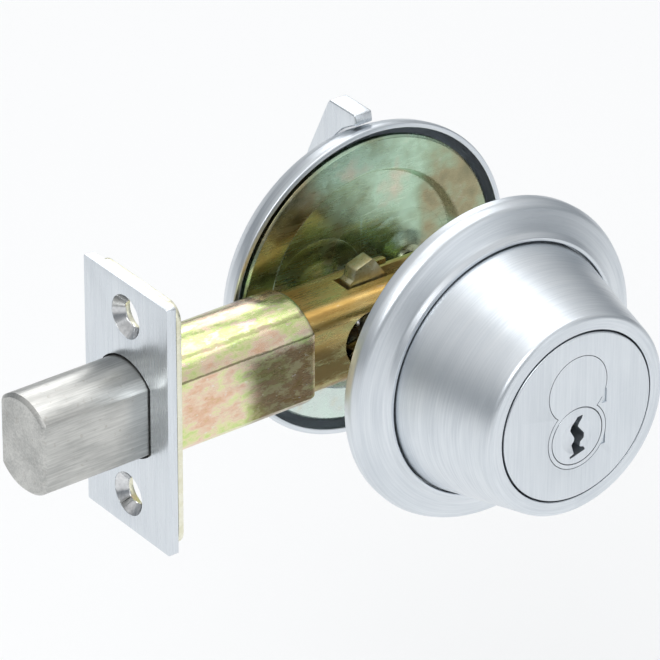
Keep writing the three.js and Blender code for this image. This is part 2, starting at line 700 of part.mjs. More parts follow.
function insideRose() {
  const wall = insideRoseWall;
  const r = insideRoseRadius;
  const y = insideRim;
  const d = insideRoseDepth;
  const dish = turnedIn([
    [r - wall, y], [r, y], [r, y + 0.9], [r - 0.5, y + 3], [r - 2, y + 5.8], [r - 4.6, y + 8.3],
    [r - 8, y + 10], [r - 12, y + d], [0, y + d], [0, y + d - wall], [r - 12.2, y + d - wall],
    [r - 8.6, y + 8.8], [r - 5.5, y + 7.3], [r - 3.1, y + 5], [r - 1.7, y + 2.8],
  ], 0, 48);
  return cut(dish, rodY(bushRadius + gap, 0, 60, 0, driveZ, 32));
}

function turnBushing() {
  const flange = plugRing(bushRadius + 1.8, roseDome + gap, roseDome + gap + 0.7);
  const sleeve = plugRing(bushRadius, roseDome - insideRoseWall - 0.4, roseDome + gap + 0.7);
  return cut(joined(flange, sleeve), plugRing(spindleRadius + gap, 0, 60));
}

// round bar on the drive line, from y0 to y1
function plugRing(radius, y0, y1, sides = 24) {
  return rodY(radius, y0, y1, 0, driveZ, sides);
}

const clipFront = roseDome - insideRoseWall - 2.2;
const clipBack = clipFront + 0.7;
const washerFront = clipBack + 0.2;
const washerBack = washerFront + 0.6;

function turnClip() {
  const ring = cut(plugRing(spindleRadius + 1.7, clipFront, clipBack), plugRing(spindleRadius - 0.5, 0, 60));
  return cut(ring, box(-1.6, 1.6, 0, 60, driveZ - 12, driveZ));
}

function turnWasher() {
  return cut(plugRing(spindleRadius + 2.4, washerFront, washerBack), plugRing(spindleRadius + gap, 0, 60));
}

function thumbTurn() {
  const inner = roseDome + gap + 0.7 + gap;
  const outer = insideRim + 23.2;
  const underside = insideRoseRadius + 0.4;
  const blade = outline([
    [insideRim + 2.2, underside], [insideRim + 2.2, turnTop - 1.4], [insideRim + 2.5, turnTop],
    [insideRim + 11.1, turnTop], [insideRim + 11.8, turnTop - 0.9], [insideRim + 19.5, turnTop - 16.7],
    [insideRim + 22.5, turnTop - 31],
    [outer, driveZ + 6], [outer, driveZ - 6], [outer - 2, driveZ - 10.5],
    [outer - 6, driveZ - 13.2], [inner + 1, driveZ - 12.6], [inner, driveZ - 11],
    [inner, underside - 11.8], [insideRim + 11.4, underside - 8.6], [insideRim + 9.2, underside - 4.9],
    [insideRim + 6.5, underside - 2.2], [insideRim + 3.5, underside - 0.5],
  ]);
  const lever = alongX(blade, -turnThickness / 2, turnThickness / 2);
  const boss = plugRing(6.6, inner, outer - 3);
  const spindle = plugRing(spindleRadius, insideRim + 3.4, inner + 0.01);
  const groove = cut(
    plugRing(spindleRadius + 1, clipFront - 0.15, clipBack + 0.15), plugRing(spindleRadius - 0.8, 0, 60));
  return cut(joined(lever, boss, spindle), bladeSlot(0, insideRim + 14), groove);
}

addPiece('mounting_plate', mountingPlate(), zincGreen());
addPiece('mounting_screw_front', mountingScrew(-1), plainSteel());
addPiece('mounting_screw_rear', mountingScrew(1), plainSteel());
addPiece('inside_rose', insideRose(), satinChrome());
addPiece('turn_bushing', turnBushing(), nylon());
addPiece('turn_clip', turnClip(), springSteel());
addPiece('turn_washer', turnWasher(), springSteel());
addPiece('thumb_turn', thumbTurn(), satinChrome());

export default lock;
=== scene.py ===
import bmesh
import bpy
import json
import math
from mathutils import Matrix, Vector


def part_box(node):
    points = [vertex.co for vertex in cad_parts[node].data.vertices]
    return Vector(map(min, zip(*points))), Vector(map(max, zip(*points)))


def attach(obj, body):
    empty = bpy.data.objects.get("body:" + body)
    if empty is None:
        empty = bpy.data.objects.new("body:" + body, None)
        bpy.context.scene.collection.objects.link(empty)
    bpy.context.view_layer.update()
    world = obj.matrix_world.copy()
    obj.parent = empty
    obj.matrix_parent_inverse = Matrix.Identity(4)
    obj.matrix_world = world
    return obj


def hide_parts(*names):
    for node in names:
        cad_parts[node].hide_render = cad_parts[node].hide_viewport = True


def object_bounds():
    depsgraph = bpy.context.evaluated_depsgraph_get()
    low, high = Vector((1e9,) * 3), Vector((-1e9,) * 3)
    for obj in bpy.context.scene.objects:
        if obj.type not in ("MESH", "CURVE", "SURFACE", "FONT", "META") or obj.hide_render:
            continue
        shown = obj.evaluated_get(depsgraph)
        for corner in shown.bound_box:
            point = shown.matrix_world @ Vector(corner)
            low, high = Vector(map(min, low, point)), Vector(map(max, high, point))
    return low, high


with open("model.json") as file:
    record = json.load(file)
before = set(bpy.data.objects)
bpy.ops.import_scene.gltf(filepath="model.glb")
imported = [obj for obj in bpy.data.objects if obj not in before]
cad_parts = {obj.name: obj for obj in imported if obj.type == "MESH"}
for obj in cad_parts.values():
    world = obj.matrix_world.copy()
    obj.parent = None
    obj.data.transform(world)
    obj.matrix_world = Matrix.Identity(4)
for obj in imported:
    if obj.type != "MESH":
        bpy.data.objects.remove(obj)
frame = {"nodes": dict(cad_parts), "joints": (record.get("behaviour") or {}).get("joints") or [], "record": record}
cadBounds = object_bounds()
nodes = frame["nodes"]
mm = 0.001
fit = 0.3  # clearance round a piece, in mm
through = 20  # far enough to cut right through the lock's middle, in mm
remade = set()  # parts that a rebuilt piece stands in for


def lowCorner(node):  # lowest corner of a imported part, in mm
    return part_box(node)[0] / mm


def highCorner(node):
    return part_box(node)[1] / mm


turnJoint = [j for j in frame["joints"] if j["name"] == "thumb_turn_turn"][0]
driveZ = turnJoint["pos_m"][2] / mm  # the key, crank and thumb turn share this height


# camera angles in degrees, distances in mm; lights in metres and watts
studio = {
    "azimuth": 36.89, "elevation": 30.21, "roll": 0.16, "distance": 1252, "target": (-19.0, 0, 0),
    "sensor": 36, "lens": 333.5, "clipEnd": 50,
    "floorDrop": 150, "floorSize": 8, "floorColor": (0.93, 0.935, 0.94, 1), "floorRoughness": 0.9,
    "worldLight": 0.72, "skyLow": (0.34, 0.37, 0.4, 1), "skyHigh": (1, 1, 1, 1), "skyTurn": 0.75,
    "lights": {  # place, size, watts
        "keyLight": ((-0.75, -0.55, 0.95), (0.7, 0.7), 5),
        "topLight": ((0.15, 0.1, 1.1), (0.9, 0.9), 3.5),
        "frontLight": ((0.35, -1.1, 0.3), (0.5, 0.9), 1.2),
        "backLight": ((0.5, 1.0, 0.6), (0.6, 0.6), 2),
    },
}


def makeCamera():
    data = bpy.data.cameras.new("productCamera")
    camera = bpy.data.objects.new("productCamera", data)
    bpy.context.scene.collection.objects.link(camera)
    around = math.radians(studio["azimuth"])
    above = math.radians(studio["elevation"])
    back = Vector((-math.sin(around) * math.cos(above), -math.cos(around) * math.cos(above), math.sin(above)))
    target = Vector(studio["target"]) * mm
    camera.location = target + back * studio["distance"] * mm
    turn = back.to_track_quat("Z", "Y").to_matrix().to_4x4()
    camera.rotation_euler = turn.to_euler()
    camera.rotation_euler.rotate_axis("Z", math.radians(studio["roll"]))
    data.sensor_width = studio["sensor"]
    data.lens = studio["lens"]
    data.clip_end = studio["clipEnd"]
    bpy.context.scene.camera = camera


def softBox(name, place, size, watts):
    data = bpy.data.lights.new(name, "AREA")
    data.shape = "RECTANGLE"
    data.size, data.size_y = size
    data.energy = watts
    lamp = bpy.data.objects.new(name, data)
    bpy.context.scene.collection.objects.link(lamp)
    lamp.location = place
    lamp.rotation_euler = Vector(place).to_track_quat("Z", "Y").to_euler()


def makeSky():  # paler overhead than at the horizon
    world = bpy.data.worlds.new("studioWorld")
    bpy.context.scene.world = world
    world.use_nodes = True
    tree = world.node_tree
    sky = tree.nodes["Background"]
    where = tree.nodes.new("ShaderNodeTexCoord")
    split = tree.nodes.new("ShaderNodeSeparateXYZ")
    ramp = tree.nodes.new("ShaderNodeValToRGB")
    ramp.color_ramp.interpolation = "EASE"
    ramp.color_ramp.elements[0].color = studio["skyLow"]
    ramp.color_ramp.elements[1].position = studio["skyTurn"]
    ramp.color_ramp.elements[1].color = studio["skyHigh"]
    tree.links.new(where.outputs["Generated"], split.inputs[0])
    tree.links.new(split.outputs["Z"], ramp.inputs[0])
    tree.links.new(ramp.outputs[0], sky.inputs[0])
    sky.inputs[1].default_value = studio["worldLight"]


def makeFloor():
    floorZ = cadBounds[0][2] - studio["floorDrop"] * mm
    bpy.ops.object.select_all(action="DESELECT")
    bpy.ops.mesh.primitive_plane_add(size=studio["floorSize"], location=(0, 0, floorZ))
    floor = bpy.context.object
    floor.name = "studioFloor"
    paper = bpy.data.materials.new("floorPaper")
    paper.use_nodes = True
    shader = paper.node_tree.nodes["Principled BSDF"]
    shader.inputs["Base Color"].default_value = studio["floorColor"]
    shader.inputs["Roughness"].default_value = studio["floorRoughness"]
    floor.data.materials.append(paper)


def makeStudio():
    makeSky()
    for name, (place, size, watts) in studio["lights"].items():
        softBox(name, place, size, watts)
    makeFloor()
    makeCamera()
    bpy.context.scene.view_settings.view_transform = "Standard"


class Strand:  # one value running through a finish, with arithmetic
    def __init__(self, finish, socket):
        self.finish = finish
        self.socket = socket

    def combine(self, operation, *others):
        return self.finish.add("ShaderNodeMath", {"operation": operation}, [self, *others])

    def __add__(self, other):
        return self.combine("ADD", other)

    __radd__ = __add__

    def __sub__(self, other):
        return self.combine("SUBTRACT", other)

    def __rsub__(self, other):
        return self.finish.add("ShaderNodeMath", {"operation": "SUBTRACT"}, [other, self])

    def __mul__(self, other):
        return self.combine("MULTIPLY", other)

    __rmul__ = __mul__

    def __truediv__(self, other):
        return self.combine("DIVIDE", other)

    def __pow__(self, other):
        return self.combine("POWER", other)


class Finish:  # one material, built up node by node
    def __init__(self, name, metallic=1.0, roughness=0.3):
        self.material = bpy.data.materials.new(name)
        self.material.use_nodes = True
        self.tree = self.material.node_tree
        self.shader = self.tree.nodes["Principled BSDF"]
        self.shader.inputs["Metallic"].default_value = metallic
        self.shader.inputs["Roughness"].default_value = roughness
        self.place = self.add("ShaderNodeTexCoord", {}, [], "Object")
        self.x, self.y, self.z = self.parts(self.place)

    def add(self, kind, settings, values, output=0):
        node = self.tree.nodes.new(kind)
        stops = settings.get("stops")
        for key, value in settings.items():
            if key != "stops":
                setattr(node, key, value)
        if stops:
            line = node.color_ramp
            while len(line.elements) < len(stops):
                line.elements.new(0.5)
            for element, (at, color) in zip(line.elements, stops):
                element.position = at
                element.color = (*color, 1)
        pairs = values.items() if isinstance(values, dict) else enumerate(values)
        for key, value in pairs:
            if isinstance(value, Strand):
                self.tree.links.new(value.socket, node.inputs[key])
            else:
                node.inputs[key].default_value = value
        return Strand(self, node.outputs[output])

    def parts(self, vector):
        split = self.tree.nodes.new("ShaderNodeSeparateXYZ")
        self.tree.links.new(vector.socket, split.inputs[0])
        return [Strand(self, split.outputs[i]) for i in range(3)]

    def vector(self, x, y, z):
        return self.add("ShaderNodeCombineXYZ", {}, [x, y, z])

    def noise(self, at, scale, detail=2.0, rough=0.5):
        values = {"Vector": at, "Scale": scale, "Detail": detail, "Roughness": rough}
        return self.add("ShaderNodeTexNoise", {}, values)

    def ramp(self, value, stops):
        return self.add("ShaderNodeValToRGB", {"stops": stops}, [value])

    def spread(self, value, low, high, newLow=0.0, newHigh=1.0):
        values = {"Value": value, "From Min": low, "From Max": high, "To Min": newLow, "To Max": newHigh}
        return self.add("ShaderNodeMapRange", {"interpolation_type": "SMOOTHSTEP"}, values)

    def blend(self, share, first, second):
        return self.add("ShaderNodeMix", {"data_type": "RGBA"}, {0: share, 6: first, 7: second}, 2)

    def feed(self, socket, value):
        self.tree.links.new(value.socket, self.shader.inputs[socket])

    def emboss(self, height, strength, distance):
        bump = self.add("ShaderNodeBump", {}, {"Strength": strength, "Distance": distance, "Height": height})
        self.feed("Normal", bump)


# satin chrome: grain is the depth of the brush lines, calm how little their tone varies
chromeValues = {
    "pale": (0.77, 0.81, 0.845, 1), "deep": (0.60, 0.645, 0.69, 1), "lineDepth": 0.16, "lineHeight": 0.00008,
    "round": {"roughness": 0.35, "grain": 0.8, "calm": 0.12},
    "face": {"roughness": 0.36, "grain": 0.5, "calm": 0.3},
    "plate": {"roughness": 0.25, "grain": 0.12, "calm": 0.3},
}


def brushedChrome(name, kind):
    finish = Finish(name)
    values = chromeValues[kind]
    calm = values["calm"]
    x, y, z = finish.x, finish.y, finish.z
    if kind == "round":  # lines run round the cylinder line
        radius = (x * x + z * z) ** 0.5
        angle = finish.add("ShaderNodeMath", {"operation": "ARCTAN2"}, [x, z])
        at = finish.vector(radius * 2600, y * 2600, angle * 2.2)
        broadAt = finish.vector(radius * 420, y * 420, angle * 1.3)
    else:  # lines run up the face
        at = finish.vector(x * 3000, y * 3000, z * 90)
        broadAt = finish.vector(x * 500, y * 500, z * 30)
    lines = finish.noise(at, 1.0, 3.0, 0.6)
    broad = finish.noise(broadAt, 1.0, 2.0)
    cloud = finish.noise(finish.place, 55.0, 3.0)
    tone = finish.spread(lines * 0.55 + broad * 0.3 + cloud * 0.25, 0.38 - calm, 0.72 + calm)
    finish.feed("Base Color", finish.blend(tone, chromeValues["deep"], chromeValues["pale"]))
    rough, smooth = values["roughness"] + 0.06, values["roughness"] - 0.05
    finish.feed("Roughness", finish.spread(lines * 0.7 + cloud * 0.3, 0.3, 0.7, rough, smooth))
    depth = chromeValues["lineDepth"] * values["grain"]
    finish.emboss(lines + broad * 0.5, depth, chromeValues["lineHeight"])
    return finish.material


steelValues = {
    "roughness": 0.36, "deep": (0.37, 0.375, 0.365, 1), "pale": (0.63, 0.63, 0.605, 1),
    "spot": (0.34, 0.31, 0.27, 1),
}


def boltSteelFinish():
    finish = Finish("boltSteel", roughness=steelValues["roughness"])
    at = finish.vector(finish.x * 110, finish.y * 2600, finish.z * 2600)
    lines = finish.noise(at, 1.0, 3.0, 0.65)
    stain = finish.noise(finish.vector(finish.x * 60, finish.y * 140, finish.z * 140), 1.0, 4.0, 0.6)
    speck = finish.noise(finish.place, 900.0, 2.0)
    tone = finish.spread(lines * 0.5 + stain * 0.5, 0.3, 0.7)
    base = finish.blend(tone, steelValues["deep"], steelValues["pale"])
    spots = finish.spread(speck, 0.62, 0.72)
    finish.feed("Base Color", finish.blend(spots * 0.35, base, steelValues["spot"]))
    finish.feed("Roughness", finish.spread(stain, 0.3, 0.7, 0.42, 0.3))
    finish.emboss(lines + speck * 0.3, 0.22, 0.0001)
    return finish.material


# passivated zinc shows bands of colour where the film is thicker or thinner
filmColors = {
    "tube": [(0.30, (0.32, 0.24, 0.08)), (0.37, (0.60, 0.46, 0.20)), (0.43, (0.78, 0.52, 0.37)),
             (0.48, (0.82, 0.66, 0.50)), (0.52, (0.76, 0.76, 0.42)), (0.56, (0.58, 0.72, 0.28)),
             (0.60, (0.80, 0.62, 0.52)), (0.66, (0.88, 0.88, 0.80))],
    "backing": [(0.30, (0.72, 0.70, 0.50)), (0.50, (0.82, 0.81, 0.66)), (0.70, (0.87, 0.86, 0.76))],
    "case": [(0.32, (0.34, 0.20, 0.06)), (0.42, (0.56, 0.36, 0.11)), (0.50, (0.68, 0.50, 0.20)),
             (0.56, (0.64, 0.58, 0.24)), (0.63, (0.70, 0.66, 0.34)), (0.70, (0.80, 0.72, 0.48))],
    "plate": [(0.34, (0.15, 0.16, 0.10)), (0.41, (0.34, 0.31, 0.19)), (0.46, (0.36, 0.46, 0.32)),
              (0.51, (0.48, 0.66, 0.50)), (0.56, (0.64, 0.62, 0.48)), (0.60, (0.62, 0.70, 0.66)),
              (0.66, (0.64, 0.78, 0.70))],
    "crank": [(0.34, (0.26, 0.20, 0.10)), (0.46, (0.44, 0.38, 0.20)), (0.54, (0.52, 0.50, 0.32)),
              (0.64, (0.62, 0.60, 0.46))],
}


# fine is the share of small mottling, chipped the strength of the white specks; dark is where painted shade
# darkens the film along x and z, in mm; lines are painted dark reflections along a bend: its height, half width
# and strength
filmValues = {
    "tube": {"stretch": 0.5, "scale": 95.0, "roughness": 0.22, "fine": 0.24, "chipped": 0.45,
             "dark": (-48, -43, 9, 6.5), "lines": ((7.4, 0.35, 0.8), (10.6, 0.4, 0.6))},
    "backing": {"stretch": 1, "scale": 60.0, "roughness": 0.3, "fine": 0.5, "chipped": 0.1},
    "case": {"stretch": 0.3, "scale": 70.0, "roughness": 0.27, "fine": 0.2, "chipped": 0.15,
             "dark": (-60, -50, 5, 1)},
    "plate": {"stretch": 1, "scale": 20.0, "roughness": 0.24, "fine": 0.05, "chipped": 0.08},
    "crank": {"stretch": 1, "scale": 120.0, "roughness": 0.32, "fine": 0.3, "chipped": 0.1},
    # colours of the painted shade (two), of the painted dark reflection lines and of the white specks
    "paintedShadeDeep": (0.17, 0.115, 0.045, 1), "paintedShadePale": (0.30, 0.27, 0.13, 1), "paintedReflectionLine": (0.16, 0.14, 0.07, 1),
    "speck": (0.88, 0.89, 0.86, 1),
}


def dichromate(kind):
    values = filmValues[kind]
    scale, fine, roughness = values["scale"], values["fine"], values["roughness"]
    finish = Finish(kind + "Dichromate", roughness=roughness)
    at = finish.vector(finish.x * values["stretch"], finish.y, finish.z)
    film = finish.noise(at, scale, 5.0, 0.62)
    mottle = finish.noise(at, scale * 6, 4.0, 0.7)
    scratch = finish.noise(finish.vector(finish.x * 160, finish.y * 2400, finish.z * 2400), 1.0, 2.0)
    band = finish.ramp(film * (1 - fine) + mottle * fine, filmColors[kind])
    chips = finish.spread(finish.noise(at, scale * 11, 3.0, 0.75), 0.63, 0.70)
    # painted shade: the film is darkened towards larger x and lower z, standing in for dark reflections on that
    # side
    if "dark" in values:
        x0, x1, z0, z1 = (place * mm for place in values["dark"])
        endways = finish.spread(finish.x + film * 0.014 - 0.007, x0, x1)
        lower = finish.spread(finish.z + mottle * 0.003, z0, z1)
        deep = finish.blend(finish.spread(mottle, 0.48, 0.6), filmValues["paintedShadeDeep"], filmValues["paintedShadePale"])
        band = finish.blend(endways * lower * 0.85, band, deep)
    # painted reflection: thin dark lines along the tube's bends, standing in for the dark reflections on its edges
    for height, half, strength in values.get("lines", ()):
        wander = finish.z + (mottle - 0.5) * 0.0008 - height * mm
        off = finish.add("ShaderNodeMath", {"operation": "ABSOLUTE"}, [wander])
        line = finish.spread(off, half * mm, half * 0.3 * mm)
        band = finish.blend(line * strength, band, filmValues["paintedReflectionLine"])
    finish.feed("Base Color", finish.blend(chips * values["chipped"], band, filmValues["speck"]))
    worn = mottle * 0.6 + scratch * 0.4
    finish.feed("Roughness", finish.spread(worn, 0.35, 0.65, roughness + 0.1, roughness - 0.06))
    finish.emboss(worn, 0.12, 0.0001)
    return finish.material


# plain metals: pale and dark colour, roughness
plainValues = {
    "brightSteel": ((0.8, 0.81, 0.82, 1), (0.55, 0.56, 0.57, 1), 0.13),
    "springSteel": ((0.4, 0.4, 0.41, 1), (0.22, 0.22, 0.23, 1), 0.22),
    "machinedBrass": ((0.78, 0.62, 0.32, 1), (0.6, 0.45, 0.2, 1), 0.22),
}


def plainMetal(name):
    pale, dark, roughness = plainValues[name]
    finish = Finish(name, roughness=roughness)
    fine = finish.noise(finish.place, 1400.0, 2.0)
    cloud = finish.noise(finish.place, 160.0, 3.0)
    tone = finish.spread(fine * 0.4 + cloud * 0.6, 0.35, 0.65)
    finish.feed("Base Color", finish.blend(tone, dark, pale))
    finish.feed("Roughness", finish.spread(cloud, 0.3, 0.7, roughness + 0.1, roughness - 0.05))
    finish.emboss(fine, 0.1, 0.00006)
    return finish.material


def nylonFinish():
    finish = Finish("naturalNylon", metallic=0.0, roughness=0.5)
    cloud = finish.noise(finish.place, 240.0, 3.0)
    finish.feed("Base Color", finish.blend(cloud, (0.78, 0.75, 0.66, 1), (0.9, 0.88, 0.82, 1)))
    finish.feed("Roughness", finish.spread(cloud, 0.3, 0.7, 0.6, 0.42))
    finish.emboss(finish.noise(finish.place, 1800.0), 0.1, 0.00005)
    return finish.material


finishes = {
    "roundChrome": brushedChrome("satinChromeRound", "round"),
    "faceChrome": brushedChrome("satinChromeFace", "face"),
    "plateChrome": brushedChrome("satinChromePlate", "plate"),
    "boltSteel": boltSteelFinish(),
    "tubeZinc": dichromate("tube"),
    "backingZinc": dichromate("backing"),
    "caseZinc": dichromate("case"),
    "plateZinc": dichromate("plate"),
    "crankZinc": dichromate("crank"),
    "brightSteel": plainMetal("brightSteel"),
    "springSteel": plainMetal("springSteel"),
    "machinedBrass": plainMetal("machinedBrass"),
    "nylon": nylonFinish(),
}
print("finishes are ready:", len(finishes))


def deselectAll():
    if bpy.context.object and bpy.context.object.mode == "EDIT":
        bpy.ops.object.mode_set(mode="OBJECT")
    bpy.ops.object.select_all(action="DESELECT")


def pick(piece):
    deselectAll()
    piece.select_set(True)
    bpy.context.view_layer.objects.active = piece


def edit(piece):
    pick(piece)
    bpy.ops.object.mode_set(mode="EDIT")


def leaveEdit():
    bpy.ops.object.mode_set(mode="OBJECT")


def cleaned(piece, near=0.002):  # doubles merged and faces turned outwards
    edit(piece)
    bpy.ops.mesh.select_all(action="SELECT")
    bpy.ops.mesh.remove_doubles(threshold=near * mm)
    bpy.ops.mesh.normals_make_consistent(inside=False)
    leaveEdit()
    return piece


def filleted(corners):  # [a, b, radius] corners of a closed outline, as points with round corners
    points = []
    count = len(corners)
    for i, (a, b, radius) in enumerate(corners):
        here = Vector((a, b))
        before = Vector(corners[i - 1][:2])
        after = Vector(corners[(i + 1) % count][:2])
        if radius <= 0:
            points.append(here)
            continue
        inward = (before - here).normalized()
        onward = (after - here).normalized()
        half = inward.angle(onward) / 2
        reach = min(radius / math.tan(half), 0.49 * (before - here).length, 0.49 * (after - here).length)
        radius = reach * math.tan(half)
        middle = here + (inward + onward).normalized() * radius / math.sin(half)
        start, end = here + inward * reach - middle, here + onward * reach - middle
        sweep = start.angle_signed(end)
        steps = max(2, round(abs(sweep) / math.radians(11)))
        for step in range(steps + 1):
            turn = -sweep * step / steps
            points.append(middle + Vector((
                start.x * math.cos(turn) - start.y * math.sin(turn),
                start.x * math.sin(turn) + start.y * math.cos(turn))))
    return points


def arcPoints(a, b, radius, first, last, steps):  # degrees, from the first axis towards the second
    found = []
    for step in range(steps + 1):
        angle = math.radians(first + (last - first) * step / steps)
        found.append(Vector((a + radius * math.cos(angle), b + radius * math.sin(angle))))
    return found


def flattedPoints(radius, halfWidth, steps=20):  # round bar with two flats, as (y, z)
    corner = math.degrees(math.acos(halfWidth / radius))
    upper = arcPoints(0, 0, radius, corner, 180 - corner, steps)
    lower = arcPoints(0, 0, radius, 180 + corner, 360 - corner, steps)
    return upper + lower


def boxCorners(halfA, halfB, radius, a=0, b=0):
    return [(a - halfA, b - halfB, radius), (a + halfA, b - halfB, radius),
            (a + halfA, b + halfB, radius), (a - halfA, b + halfB, radius)]


def drawn(name, points, lay):  # one vertex, extruded from point to point
    spots = [lay(p) * mm for p in points]
    deselectAll()
    bpy.ops.mesh.primitive_plane_add(size=mm, location=spots[0])
    piece = bpy.context.object
    piece.name = name
    bpy.ops.object.transform_apply(location=True)
    bpy.ops.object.mode_set(mode="EDIT")
    bpy.ops.mesh.select_mode(type="VERT")
    bpy.ops.mesh.select_all(action="SELECT")
    bpy.ops.mesh.merge(type="CENTER")
    for here, there in zip(spots, spots[1:]):
        bpy.ops.mesh.extrude_region_move(TRANSFORM_OT_translate={"value": there - here})
    return piece


def pushed(name, points, lay, along, low, high):  # outline filled and extruded between two planes, in mm
    piece = drawn(name, points, lambda p: lay(p) + along * low)
    bpy.ops.mesh.select_all(action="SELECT")
    bpy.ops.mesh.edge_face_add()
    bpy.ops.mesh.select_all(action="SELECT")
    bpy.ops.mesh.extrude_region_move(TRANSFORM_OT_translate={"value": along * (high - low) * mm})
    leaveEdit()
    return cleaned(piece)


def alongX(name, points, low, high):  # outline of (y, z)
    return pushed(name, points, lambda p: Vector((0, p[0], p[1])), Vector((1, 0, 0)), low, high)


def alongY(name, points, low, high):  # outline of (x, z)
    return pushed(name, points, lambda p: Vector((p[0], 0, p[1])), Vector((0, 1, 0)), low, high)


def closeLoop(piece):  # joins the outline's last point to its first, in edit mode
    ring = bmesh.from_edit_mesh(piece.data)
    ring.verts.ensure_lookup_table()
    bpy.ops.mesh.select_all(action="DESELECT")
    for index in (0, len(ring.verts) - 1):
        ring.verts[index].select = True
    bpy.ops.mesh.edge_face_add()
    bpy.ops.mesh.select_all(action="SELECT")


def spun(name, points, x=0.0, z=0.0, steps=128):  # closed outline of (radius, y) turned about a line along Y
    piece = drawn(name, points, lambda p: Vector((x + p[0], p[1], z)))
    closeLoop(piece)
    bpy.ops.mesh.spin(steps=steps, angle=2 * math.pi, center=(x * mm, 0, z * mm), axis=(0, 1, 0))
    leaveEdit()
    return cleaned(piece)


def barOutline(radius, low, high):  # half of a bar's section, to be turned about its middle
    return [Vector(p) for p in ((0, low), (radius, low), (radius, high), (0, high))]


def roundBar(name, radius, low, high, x, z, steps=48):  # along Y
    return spun(name, barOutline(radius, low, high), x, z, steps)


def combined(piece, operation, tools):
    for tool in tools:
        pick(piece)
        modifier = piece.modifiers.new("combine", "BOOLEAN")
        modifier.operation = operation
        modifier.solver = "MANIFOLD"
        modifier.object = tool
        bpy.ops.object.modifier_apply(modifier=modifier.name)
        bpy.data.objects.remove(tool)
    return piece


def cutBy(piece, *tools):
    return combined(piece, "DIFFERENCE", tools)


def welded(piece, *others):
    return combined(piece, "UNION", others)


def softened(piece, width, segments=3, sharp=32):
    pick(piece)
    modifier = piece.modifiers.new("edges", "BEVEL")
    modifier.width = width * mm
    modifier.segments = segments
    modifier.limit_method = "ANGLE"
    modifier.angle_limit = math.radians(sharp)
    modifier.miter_outer = "MITER_ARC"
    modifier.use_clamp_overlap = True
    bpy.ops.object.modifier_apply(modifier=modifier.name)
    return piece


def facesWhere(piece, test):  # selects faces by centre (mm) and normal, leaves edit mode on
    edit(piece)
    bpy.ops.mesh.select_all(action="DESELECT")
    bpy.ops.mesh.select_mode(type="FACE")
    body = bmesh.from_edit_mesh(piece.data)
    for face in body.faces:
        face.select_set(test(face.calc_center_median() / mm, face.normal))
    bmesh.update_edit_mesh(piece.data)


def placed(piece, body, replaced, finish, smooth=30):
    pick(piece)
    if not any(piece.data.materials):
        piece.data.materials.clear()
        piece.data.materials.append(finishes[finish])
    bpy.ops.object.shade_smooth_by_angle(angle=math.radians(smooth))
    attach(piece, body)
    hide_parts(*replaced)
    remade.update(replaced)
    print("made", piece.name, len(piece.data.polygons))
    return piece


def spunX(name, points, z=0.0, steps=64):  # closed outline of (radius, x) turned about a line along X
    piece = drawn(name, points, lambda p: Vector((p[1], 0, z + p[0])))
    closeLoop(piece)
    bpy.ops.mesh.spin(steps=steps, angle=2 * math.pi, center=(0, 0, z * mm), axis=(1, 0, 0))
    leaveEdit()
    return cleaned(piece)


def uprightBar(name, radius, low, high, x, y, steps):  # along Z
    bar = drawn(name, barOutline(radius, low, high), lambda p: Vector((x + p[0], y, p[1])))
    closeLoop(bar)
    bpy.ops.mesh.spin(steps=steps, angle=2 * math.pi, center=(x * mm, y * mm, 0), axis=(0, 0, 1))
    leaveEdit()
    return cleaned(bar)


def boltOutline(extra, steps=24):  # the bolt's section, that much wider all round
    return flattedPoints(boltValues["radius"] + extra, boltValues["halfWidth"] + extra, steps)


def bladeSlot(low, high):  # where the tailpiece's flat blade passes through
    halfX, halfZ = bladeValues["halfX"], bladeValues["halfZ"]
    return block("bladeSlot", -halfX, halfX, low, high, driveZ - halfZ, driveZ + halfZ)


def block(name, x0, x1, y0, y1, z0, z1):
    return alongY(name, [Vector(p) for p in ((x0, z0), (x1, z0), (x1, z1), (x0, z1))], y0, y1)


def rectangle(halfA, halfB, radius):
    return filleted(boxCorners(halfA, halfB, radius))


bladeValues = {"halfX": 1.1, "halfZ": 2.6}
screwX = 11.1  # mounting screws, on both sides of the cylinder line


# the faceplate, its backing plate and the bolt tube

plateFront = lowCorner("faceplate").x
plateRear = highCorner("faceplate").x
plateValues = {
    "corner": 0.5, "edge": 0.22, "boltGap": 0.4, "screwZ": 20.65, "screwRadius": 2.8,
    "sinkRadius": 4.75, "sinkDepth": 1.75, "sinkReach": 4.7,
}


def screwCutter(z):
    radius, wide = plateValues["screwRadius"], plateValues["sinkRadius"]
    seat = plateFront + plateValues["sinkDepth"]
    points = [(0, plateFront - 1), (wide, plateFront - 1), (wide, plateFront + 0.12), (radius + 0.12, seat),
              (radius, seat + 0.15), (radius, plateRear + 1), (0, plateRear + 1)]
    return spunX("screwCutter", [Vector(p) for p in points], z, 56)


def makeFaceplate():
    halfY, halfZ = highCorner("faceplate").y, highCorner("faceplate").z
    plate = alongX("faceplateVisual", rectangle(halfY, halfZ, plateValues["corner"]), plateFront, plateRear)
    hole = alongX("boltHole", boltOutline(plateValues["boltGap"]), plateFront - 1, plateRear + 1)
    cutBy(plate, hole, screwCutter(plateValues["screwZ"]), screwCutter(-plateValues["screwZ"]))
    plate.data.materials.clear()
    plate.data.materials.append(finishes["plateChrome"])
    plate.data.materials.append(finishes["brightSteel"])
    spots, reach = plateValues["screwZ"], plateValues["sinkReach"]
    facesWhere(plate, lambda c, n: abs(n.x) < 0.95
               and (c.yz - Vector((0, math.copysign(spots, c.z)))).length < reach)
    plate.active_material_index = 1
    bpy.ops.object.material_slot_assign()
    leaveEdit()
    softened(plate, plateValues["edge"], 3)
    return placed(plate, "housing", ["faceplate"], "plateChrome")


backingValues = {"corner": 3.6, "edge": 0.15, "screwRadius": 4.0}


